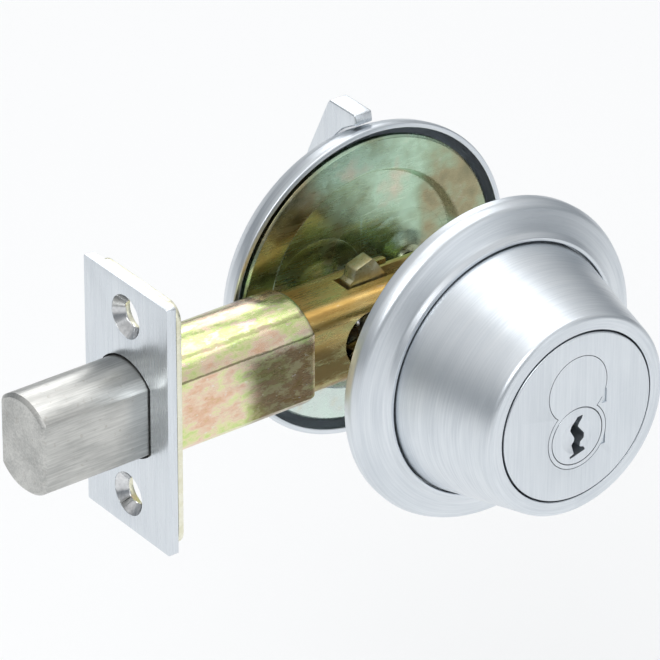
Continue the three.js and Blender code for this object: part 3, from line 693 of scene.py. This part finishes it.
def makeBackingPlate():
    low, high = lowCorner("backing_plate"), highCorner("backing_plate")
    plate = alongX("backingPlateVisual", rectangle(high.y, high.z, backingValues["corner"]), low.x, high.x)
    hole = barOutline(backingValues["screwRadius"], low.x - 1, high.x + 1)
    tools = [alongX("boltHole", boltOutline(fit), low.x - 1, high.x + 1)]
    for z in (plateValues["screwZ"], -plateValues["screwZ"]):
        tools.append(spunX("screwHole", hole, z, 40))
    cutBy(plate, *tools)
    softened(plate, backingValues["edge"], 2)
    return placed(plate, "housing", ["backing_plate"], "backingZinc")


tubeValues = {
    "radius": 12.2, "halfWidth": 9.7, "wall": 1.1, "endWall": 1.4, "mouthDepth": 5, "edge": 0.2,
    "roll": [(0.5, 0.995), (0.4, 0.982), (0.3, 0.962), (0.2, 0.93)],  # step back, size against the tube
}


def makeBoltTube():
    values = tubeValues
    low, high = lowCorner("bolt_tube").x, highCorner("bolt_tube").x
    straight = high - sum(step for step, size in values["roll"])
    tube = alongX("boltTubeVisual", flattedPoints(values["radius"], values["halfWidth"], 30), low, straight)
    facesWhere(tube, lambda c, n: n.x > 0.9)
    size = 1.0
    at = straight
    for step, share in values["roll"]:
        at += step
        bpy.ops.mesh.extrude_region_move(TRANSFORM_OT_translate={"value": (step * mm, 0, 0)})
        bpy.ops.transform.resize(value=(1, share / size, share / size), center_override=(at * mm, 0, 0))
        size = share
    leaveEdit()
    inner = flattedPoints(values["radius"] - values["wall"], values["halfWidth"] - values["wall"], 30)
    hollow = alongX("hollow", inner, low - 1, high - values["endWall"])
    mouthOutline = rectangle(*(caseValues[key] + fit for key in ("halfWidth", "halfHeight", "corner")))
    mouth = alongX("mouth", mouthOutline, high - values["mouthDepth"], high + 1)
    cutBy(tube, hollow, mouth)
    softened(tube, values["edge"], 2, 40)
    return placed(tube, "housing", ["bolt_tube"], "tubeZinc", 24)


# the crank case

caseValues = {
    "halfWidth": 7.7, "halfHeight": 9.6, "corner": 3.8, "wall": 1.2, "edge": 0.22,
    "slotFront": -16.3, "slotNear": -2.4, "slotFar": 2.6, "earFar": 3.6, "earFront": -13.0,
    "topEnd": -2.0, "windowX": -14.3, "windowRadius": 6.4,
    "screwRadius": 2.6, "postHole": 3.6, "hubRadius": 3.8,
    "heelRadius": 1.2, "heelBack": 12, "heelRise": 0.2, "pinRadius": 1.25, "pinX": -15.9, "pinZ": -5.1,
}


def makeRearCase():
    values = caseValues
    low, high = lowCorner("rear_case").x, highCorner("rear_case").x
    halfY, halfZ, corner, wall = values["halfWidth"], values["halfHeight"], values["corner"], values["wall"]
    case = alongX("rearCaseVisual", rectangle(halfY, halfZ, corner), low, high)
    tools = [
        alongX("hollow", rectangle(halfY - wall, halfZ - wall, corner - wall), low - 1, high + 1),
        block("slot", values["slotFront"], high + 1, values["slotNear"], values["slotFar"], 0, halfZ + 1),
        block("earSlot", values["earFront"], high + 1, 0, values["earFar"], 0, halfZ + 1.5),
        block("openTop", values["topEnd"], high + 2, -through, through, halfZ - corner, halfZ + 2),
        roundBar("window", values["windowRadius"], -halfY - 1, 0, values["windowX"], 0),
        roundBar("hubHole", values["hubRadius"], -through, through, 0, driveZ),
        roundBar("heel", values["heelRadius"], -through, through, low + values["heelBack"],
                 values["heelRise"] - halfZ, 24),
        roundBar("rollPinHole", values["pinRadius"], 0, through, values["pinX"], values["pinZ"], 24),
    ]
    for side in (-1, 1):
        tools.append(roundBar("screwHole", values["screwRadius"], 0, through, side * screwX, 0, 32))
        tools.append(roundBar("postHole", values["postHole"], -through, 0, side * screwX, 0, 40))
    cutBy(case, *tools)
    softened(case, values["edge"], 2, 40)
    return placed(case, "housing", ["rear_case"], "caseZinc", 24)


# the bolt and its tail

boltValues = {
    "radius": 10.75, "halfWidth": 7.75, "chamfer": 0.75, "edge": 0.12, "rollerRadius": 2.5, "rollerTop": 7.7,
    "rollerBottom": -12,
}
tailValues = {
    "bottom": 3.6, "upper": 7.9, "earHalf": 2.2, "pinX": -10.494, "pinZ": 8.107, "pinHole": 1.3, "edge": 0.15,
}


def makeBoltBar():
    values = boltValues
    low, high = lowCorner("bolt_bar").x, highCorner("bolt_bar").x
    bar = alongX("boltBarVisual", boltOutline(0, 30), low, high)
    facesWhere(bar, lambda c, n: n.x < -0.9)
    bpy.ops.mesh.select_mode(type="EDGE")
    bpy.ops.mesh.region_to_loop()
    bpy.ops.mesh.bevel(offset=values["chamfer"] * mm, segments=1)
    leaveEdit()
    tail, tailEnd = lowCorner("bolt_tail"), highCorner("bolt_tail")
    tools = [block("tailSlot", tail.x - fit, 0, tail.y - fit, tailEnd.y + fit,
                   tailValues["bottom"] - fit, tailValues["upper"] + fit)]
    for name in ("anti_saw_roller_outer", "anti_saw_roller_inner"):
        x = (lowCorner(name).x + highCorner(name).x) / 2
        low, high = values["rollerBottom"], values["rollerTop"]
        tools.append(uprightBar("rollerHole", values["rollerRadius"], low, high, x, 0, 32))
    cutBy(bar, *tools)
    softened(bar, values["edge"], 3, 28)
    return placed(bar, "bolt", ["bolt_bar"], "boltSteel", 24)


def makeBoltTail():
    values = tailValues
    low, high = lowCorner("bolt_tail"), highCorner("bolt_tail")
    front, rear = values["pinX"] - values["earHalf"], values["pinX"] + values["earHalf"]
    corners = [(low.x, values["bottom"], 0.4), (rear, values["bottom"], 0.8), (rear, high.z, 1.4),
               (front, high.z, 1.4), (front, values["upper"], 0.5), (low.x, values["upper"], 0.4)]
    tail = alongY("boltTailVisual", filleted(corners), low.y, high.y)
    near, far = low.y - 1, high.y + 1
    cutBy(tail, roundBar("pinHole", values["pinHole"], near, far, values["pinX"], values["pinZ"], 24))
    softened(tail, values["edge"], 2)
    return placed(tail, "bolt", ["bolt_tail"], "crankZinc")


# the crank: its tooth stands out of the slot in the case

crankValues = {
    "rest": 40, "edge": 0.32, "near": -1.9, "far": 1.6,
    "hubRadius": 3.5, "pocketDepth": 1.4, "notchRadius": 2.4,
    "arm": [(1, -2.7, 0), (17.6, -2.7, 2), (20.1, -3.4, 0.4), (21.1, -2.3, 0.3), (21, -1.3, 0.2),
            (22.2, 0.7, 0.7), (20.5, 4.9, 0.6), (13.1, 4.3, 0.5), (8.5, 2.7, 2), (1, 2.7, 0)],
    "pocket": [(11.1, -1.75), (17.2, -1.75), (19.6, -1.35), (20.5, -0.9), (20.85, 0), (20.5, 1), (17.6, 2.7),
               (15.4, 3.15), (13.2, 3.1), (11.3, 2.2)],
}


def fromArm(u, v):  # u along the arm, v across it, from the drive line
    angle = math.radians(crankValues["rest"])
    return (-u * math.sin(angle) + v * math.cos(angle), driveZ + u * math.cos(angle) + v * math.sin(angle))


def makeCrank():
    values = crankValues
    near, far = values["near"], values["far"]
    outline = filleted([(*fromArm(u, v), radius) for u, v, radius in values["arm"]])
    arm = alongY("crankVisual", outline, near, far)
    low, high = lowCorner("crank").y, highCorner("crank").y
    welded(arm, roundBar("hub", values["hubRadius"], low, high, 0, driveZ))
    pocket = [Vector(fromArm(u, v)) for u, v in values["pocket"]]
    back = math.radians(90 - values["rest"])
    # the rear mounting screw's place against the arm once it is turned right back
    notchX, notchZ = fromArm(screwX * math.sin(back) - driveZ * math.cos(back),
                             screwX * math.cos(back) + driveZ * math.sin(back))
    cutBy(
        arm,
        alongY("pocket", pocket, far - values["pocketDepth"], far + 1),
        roundBar("notch", values["notchRadius"], near - 1, far + 1, notchX, notchZ, 40),
        bladeSlot(-through, through))
    softened(arm, values["edge"], 3)
    return placed(arm, "hub", ["crank"], "crankZinc")


# the key side: rose, collar and cylinder; outlines are (radius, distance towards the key side)

def turnedOut(name, corners, steps=160, z=0.0):
    return spun(name, [Vector((p.x, -p.y)) for p in filleted(corners)], 0, z, steps)


def keySideBar(name, radius, near, far, x=0.0, z=0.0, steps=48):
    return roundBar(name, radius, -far, -near, x, z, steps)


roseValues = {
    "outline": [
        (31.4, 26.4, 0.3), (31.4, 30.3, 0.4), (30.5, 31.5, 0.4), (28.1, 31.5, 0.2), (28.1, 33.6, 0.25),
        (28.9, 33.55, 0.4), (29.8, 32.5, 1.6), (33.1, 31.1, 2.2), (34.7, 30.5, 1.6), (35.5, 28.6, 1.7),
        (35.35, 26.4, 0.5)],
}


def makeOutsideRose():
    rose = turnedOut("outsideRoseVisual", roseValues["outline"], 192)
    return placed(rose, "housing", ["outside_rose"], "roundChrome", 40)


collarValues = {
    "outline": [
        (30.0, 29.9, 0.2), (30.0, 31.2, 0.2), (27.7, 31.2, 0.2), (27.7, 33.5, 0.3), (22.2, 57.0, 1.3),
        (19.0, 57.0, 0.22), (19.0, 54.0, 0.2), (20.7, 52.8, 0.3), (25.7, 29.9, 0.2)],
}


def makeCollar():
    collar = turnedOut("collarVisual", collarValues["outline"], 192)
    return placed(collar, "collar", ["collar"], "roundChrome", 40)


bodyValues = {
    "outline": [
        (0, 26.9, 0), (31, 26.9, 0.3), (31, 28.6, 0.3), (18.65, 28.6, 0.2), (18.65, 57.2, 0.3), (0, 57.2, 0)],
    "lobe": 7.45, "upperZ": 6.5, "edge": 0.12, "postRadius": 3.3, "postEnd": 3.5, "postRoot": 28,
    "threadRadius": 2.3, "threadEnd": 33.4, "backScrewZ": 15.2, "backHoleRadius": 1.5, "backHoleEnd": 33.9,
    "pocketRadius": 7.9, "pocketEnd": 29, "rear": 25, "stepFloor": 56.75, "stepWidth": 1.1,
    "steps": [(1.0, 4.3, 7.4), (-8.6, -4.6, 7.3)],  # bottom, top and outer side
}


def figureEight(name, radius, near, far, steps=96):
    upper = keySideBar(name, radius, near, far, 0, bodyValues["upperZ"], steps)
    return welded(upper, keySideBar("lowerLobe", radius, near, far, 0, driveZ, steps))


def makeCylinderBody():
    values = bodyValues
    body = turnedOut("cylinderBodyVisual", values["outline"], 160)
    rear = values["rear"]
    cutBy(body, keySideBar("pocket", values["pocketRadius"], rear, values["pocketEnd"], 0, driveZ))
    tools = [figureEight("coreHole", values["lobe"], rear, 60)]
    for low, high, x in values["steps"]:  # left beside the core hole, on one side of its neck
        tools.append(block("neckStep", x - values["stepWidth"], x, -60, -values["stepFloor"], low, high))
    for side in (-1, 1):
        x, end = side * screwX, values["postEnd"]
        welded(body, keySideBar("post", values["postRadius"], end, values["postRoot"], x, 0, 48))
        tools.append(keySideBar("thread", values["threadRadius"], end - 1, values["threadEnd"], x, 0, 40))
        z = side * values["backScrewZ"]
        tools.append(keySideBar("backHole", values["backHoleRadius"], rear, values["backHoleEnd"], 0, z, 24))
    cutBy(body, *tools)
    softened(body, values["edge"], 2, 40)
    return placed(body, "housing", ["cylinder_body"], "faceChrome", 30)


coreValues = {
    "radius": 7.3, "front": 57.2, "rear": 29, "edge": 0.1,
    "plugHole": 6.5, "headRear": 54.2, "sleeveHole": 6.5,
    "chambers": 7, "chamberRadius": 1.35, "firstChamber": 51, "pitch": 3.2,
    "chamberTop": 14.8, "chamberFloor": 1.4,
}


def makeCoreShell():
    values = coreValues
    core = figureEight("coreShellVisual", values["radius"], values["rear"], values["front"])
    tools = [
        keySideBar("plugHole", values["plugHole"], values["headRear"] - 0.1, 60, 0, driveZ, 96),
        keySideBar("sleeveHole", values["sleeveHole"], 20, values["headRear"] + 0.1, 0, driveZ, 64),
    ]
    for index in range(values["chambers"]):
        y = index * values["pitch"] - values["firstChamber"]
        low, high = values["chamberFloor"], values["chamberTop"]
        tools.append(uprightBar("chamber", values["chamberRadius"], low, high, 0, y, 20))
    cutBy(core, *tools)
    softened(core, values["edge"], 2, 40)
    return placed(core, "housing", ["core_shell"], "faceChrome", 30)


plugValues = {
    "headRadius": 6.33, "front": 57.25, "headRear": 54.6, "bodyRadius": 4.7, "rear": 29, "edge": 0.12,
    "dishRadius": 3.9, "dishDepth": 0.62, "dishSteps": 8, "keyEnd": 32,
    "prongX": 2.8, "prongHole": 1.3, "prongHoleEnd": 31.4,
    "keyway": [
        (-1.75, -4.85, 0.1), (2.15, -3.8, 0.15), (1.75, -3.05, 0.1), (0.95, -2.9, 0.1), (1.15, -1.9, 0.3),
        (2.05, -1.2, 0.5), (2.1, -0.1, 0.6), (0.5, 1.9, 0.4), (0.65, 2.6, 0.4), (1.35, 4.55, 0.1),
        (-0.05, 4.45, 0.2), (-1.3, 2.5, 0.5), (-1.45, 1.4, 0.5), (-0.25, -0.6, 0.4), (-0.35, -1.3, 0.2),
        (-1.1, -2.0, 0.3), (-0.75, -3.9, 0.2), (-1.8, -4.3, 0.1)],
}


def makeKeyPlug():
    values = plugValues
    front, rear, wide, slim = values["front"], values["rear"], values["headRadius"], values["bodyRadius"]
    headRear = values["headRear"]
    corners = [(0, rear, 0), (slim, rear, 0.2), (slim, headRear, 0.2), (wide, headRear, 0.2),
               (wide, front, 0.15), (0, front, 0)]
    plug = turnedOut("keyPlugVisual", corners, 96, driveZ)
    depth, spread = values["dishDepth"], values["dishRadius"]
    dish = [Vector((0, -(front - depth)))]
    for step in range(1, values["dishSteps"] + 1):
        share = step / values["dishSteps"]
        dish.append(Vector((spread * share, -(front - depth * (1 - share ** 2)))))
    dish += [Vector((spread, -front - 1)), Vector((0, -front - 1))]
    keyway = filleted([(a, driveZ + b, r) for a, b, r in values["keyway"]])
    slot = alongY("keyway", keyway, -60, -values["keyEnd"])
    tools = [spun("dish", dish, 0, driveZ, 64), slot]
    for side in (-1, 1):
        x, end = side * values["prongX"], values["prongHoleEnd"]
        tools.append(keySideBar("prongHole", values["prongHole"], rear - 1, end, x, driveZ, 24))
    cutBy(plug, *tools)
    softened(plug, values["edge"], 2, 40)
    return placed(plug, "plug", ["key_plug"], "faceChrome", 30)


throwValues = {
    "outline": [
        (0, 24, 0), (3.9, 24, 0.3), (3.9, 27.1, 0.2), (7.4, 27.1, 0.3), (7.4, 28.7, 0.3), (0, 28.7, 0)],
    "prongRadius": 1.0, "prongRoot": 28.5, "prongEnd": 30.8, "slotEnd": 28.2, "edge": 0.15,
}


def makeThrowMember():
    values = throwValues
    member = turnedOut("throwMemberVisual", values["outline"], 64, driveZ)
    for side in (-1, 1):
        x, root, end = side * plugValues["prongX"], values["prongRoot"], values["prongEnd"]
        welded(member, keySideBar("prong", values["prongRadius"], root, end, x, driveZ, 24))
    cutBy(member, bladeSlot(-values["slotEnd"], 0))
    softened(member, values["edge"], 2, 40)
    return placed(member, "cylinder_drive", ["throw_member"], "machinedBrass")


# the thumb turn side; outlines are (radius, distance towards the room)

def turnedIn(name, corners, steps=160, x=0.0, z=0.0):
    return spun(name, filleted(corners), x, z, steps)


mountValues = {
    "outline": [
        (0, 14.95, 0), (23.5, 14.95, 0.6), (24.8, 12.35, 0.7), (31.8, 12.35, 0.3), (32.3, 12.8, 0.3),
        (32.3, 13.95, 0.3), (25.6, 13.95, 1.0), (24.3, 16.55, 1.2), (0, 16.55, 0)],
    "boss": [(0, 13.05, 0), (3.9, 13.05, 0.7), (5.2, 13.75, 1.6), (6.8, 14.45, 3.5), (9, 14.8, 6),
             (11.6, 14.94, 4), (11.6, 15.35, 0), (0, 15.35, 0)],
    "counter": [(0, 14.25, 0), (3, 14.25, 0.5), (6, 17.05, 0), (0, 17.05, 0)],
    "holeRadius": 2.4, "centre": 5.8, "edge": 0.2,
}


def makeMountingPlate():
    values = mountValues
    plate = turnedIn("mountingPlateVisual", values["outline"], 128)
    tools = [roundBar("centre", values["centre"], 0, 40, 0, driveZ)]
    for side in (-1, 1):
        x = side * screwX
        welded(plate, turnedIn("boss", values["boss"], 64, x))
        tools.append(turnedIn("counter", values["counter"], 48, x))
        tools.append(roundBar("hole", values["holeRadius"], 0, 40, x, 0))
    cutBy(plate, *tools)
    softened(plate, values["edge"], 2, 40)
    return placed(plate, "housing", ["mounting_plate"], "plateZinc", 30)


screwValues = {
    "radius": 2.0, "core": 1.62, "point": 0.3, "pitch": 0.8, "smooth": 1.5, "seat": 14.55, "start": -32.4,
    "crest": (0.42, 0.56),  # where the thread's flat top starts and ends, as shares of the pitch
    "head": [(2.6, 0), (3.9, 1.3), (3.9, 1.9), (3.4, 2.3), (0, 2.5)],  # radius, distance past the seat
    "recessHalf": 0.475, "recessReach": 2.2, "recessFloor": 1,
}


def makeMountingScrew(node, name, side):
    values = screwValues
    seat, start, radius, core = values["seat"], values["start"], values["radius"], values["core"]
    x, pitch = side * screwX, values["pitch"]
    outline = [(0, start), (core - values["point"], start)]
    y = start + pitch / 2
    rise, fall = (pitch * share for share in values["crest"])
    while y < -values["smooth"]:
        outline += [(core, y), (radius, y + rise), (radius, y + fall)]
        y += pitch
    outline += [(core, y), (radius, y + 0.5), (radius, seat)]
    outline += [(out, seat + past) for out, past in values["head"]]
    screw = spun(name, [Vector(p) for p in outline], x, 0, 40)
    half, reach, floor = values["recessHalf"], values["recessReach"], seat + values["recessFloor"]
    cross = welded(block("cross", x - half, x + half, floor, floor + 3, -reach, reach),
                   block("crossArm", x - reach, x + reach, floor, floor + 3, -half, half))
    cutBy(screw, cross)
    return placed(screw, "housing", [node], "brightSteel", 34)


insideValues = {
    "outline": [
        (34.2, 11.75, 0.2), (35.4, 11.75, 0.35), (35.4, 12.8, 1.2), (34.9, 14.9, 2), (33.3, 17.7, 3),
        (30.8, 20.1, 3),
        (27.3, 21.8, 3), (23.4, 22.65, 6), (0, 22.65, 0), (0, 21.45, 0), (23.2, 21.45, 6), (26.8, 20.6, 3),
        (29.9, 19.1, 3), (32.2, 16.9, 3), (33.7, 14.6, 2), (34.2, 12.8, 1)],
    "centre": 5.5, "edge": 0.12,
}


def makeInsideRose():
    rose = turnedIn("insideRoseVisual", insideValues["outline"], 192)
    cutBy(rose, roundBar("centre", insideValues["centre"], 0, 60, 0, driveZ, 64))
    softened(rose, insideValues["edge"], 2, 50)
    return placed(rose, "housing", ["inside_rose"], "roundChrome", 40)


turnValues = {
    "half": 2.2, "edge": 0.5, "slotEnd": 25.75,
    "boss": [(0, 23.95, 0), (6.6, 23.95, 0.3), (6.6, 31.9, 1.6), (0, 31.9, 0)],
    "spindle": [(0, 15.15, 0), (4.2, 15.15, 0.4), (4.2, 19.1, 0), (3.4, 19.1, 0), (3.4, 20.1, 0),
                (4.2, 20.1, 0), (4.2, 24.25, 0), (0, 24.25, 0)],
    "blade": [
        (13.95, 35.8, 0.3), (13.95, 36.8, 0.5), (14.25, 38.2, 0.4), (22.85, 38.2, 0.7), (23.55, 37.3, 1.0),
        (31.25, 21.5, 20), (34.25, 7.2, 12), (34.95, 1.6, 8), (34.95, -10.4, 4), (32.95, -14.9, 3),
        (28.95, -17.6, 3),
        (24.95, -17.0, 1.5), (23.95, -15.4, 0.8), (23.95, 24.0, 3), (23.15, 27.2, 3), (20.95, 30.9, 3),
        (18.25, 33.6, 3), (15.25, 35.3, 2)],
}


def makeThumbTurn():
    values = turnValues
    lever = alongX("thumbTurnVisual", filleted(values["blade"]), -values["half"], values["half"])
    softened(lever, values["edge"], 4, 40)
    welded(lever, turnedIn("boss", values["boss"], 96, 0, driveZ))
    welded(lever, turnedIn("spindle", values["spindle"], 48, 0, driveZ))
    cutBy(lever, bladeSlot(0, values["slotEnd"]))
    return placed(lever, "turn", ["thumb_turn"], "plateChrome", 30)


# parts kept as they are, given their finishes

slotFinishes = {
    "satin_chrome": "plateChrome", "bolt_steel": "boltSteel", "zinc_yellow": "tubeZinc",
    "zinc_bronze": "caseZinc", "zinc_green": "plateZinc", "plain_steel": "brightSteel",
    "spring_steel": "springSteel", "brass": "machinedBrass", "nylon": "nylon",
}


def dressRest():
    slots = {part["node"]: part["material_slot"] for part in frame["record"]["subparts"]}
    for name, node in nodes.items():
        if name in remade:
            continue
        node.data.materials.clear()
        node.data.materials.append(finishes[slotFinishes[slots[name]]])
        pick(node)
        bpy.ops.object.shade_smooth_by_angle(angle=math.radians(35))


makeStudio()
print("the studio is ready")
for make in (
        makeFaceplate, makeBackingPlate, makeBoltTube, makeRearCase, makeBoltBar, makeBoltTail, makeCrank,
        makeOutsideRose, makeCollar, makeCylinderBody, makeCoreShell, makeKeyPlug, makeThrowMember,
        makeMountingPlate, makeInsideRose, makeThumbTurn):
    make()
makeMountingScrew("mounting_screw_front", "mountingScrewFront", -1)
makeMountingScrew("mounting_screw_rear", "mountingScrewRear", 1)
print("the pieces are ready")
dressRest()
print("the other parts are dressed:", len(nodes) - len(remade))
